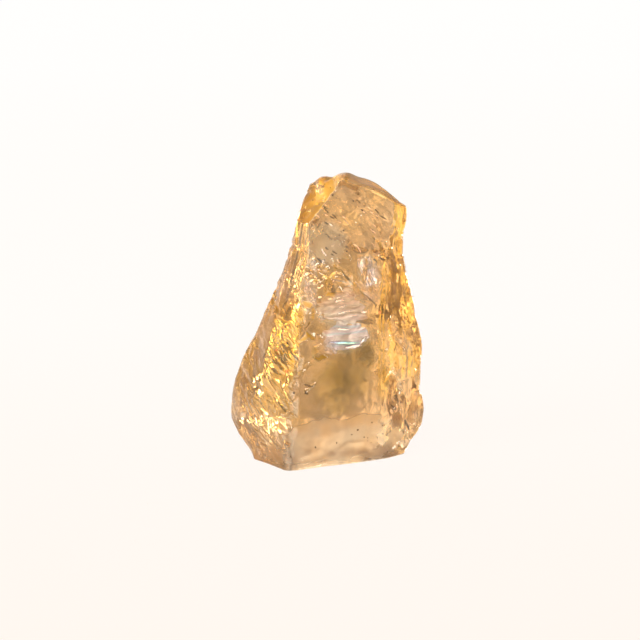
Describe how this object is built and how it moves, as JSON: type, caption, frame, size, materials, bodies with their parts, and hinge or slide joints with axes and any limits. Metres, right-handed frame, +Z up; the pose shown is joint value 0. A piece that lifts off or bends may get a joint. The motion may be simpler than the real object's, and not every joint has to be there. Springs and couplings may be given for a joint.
{
  "type": "morganite crystal specimen",
  "caption": "Rough peach beryl crystal: a tapered etched prism with a slanting faceted top and a flat broken base.",
  "frame": {"origin": "on the flat broken base, under the middle of the crystal", "axes": "+Z up along the prism, -Y out of the broad front side, +X to its right"},
  "size_m": [0.024, 0.0162, 0.0354],
  "materials": {
    "beryl": "clear peach-gold beryl with etched, glassy faces"
  },
  "bodies": {
    "root": {"crystal": "beryl"}
  },
  "joints": []
}
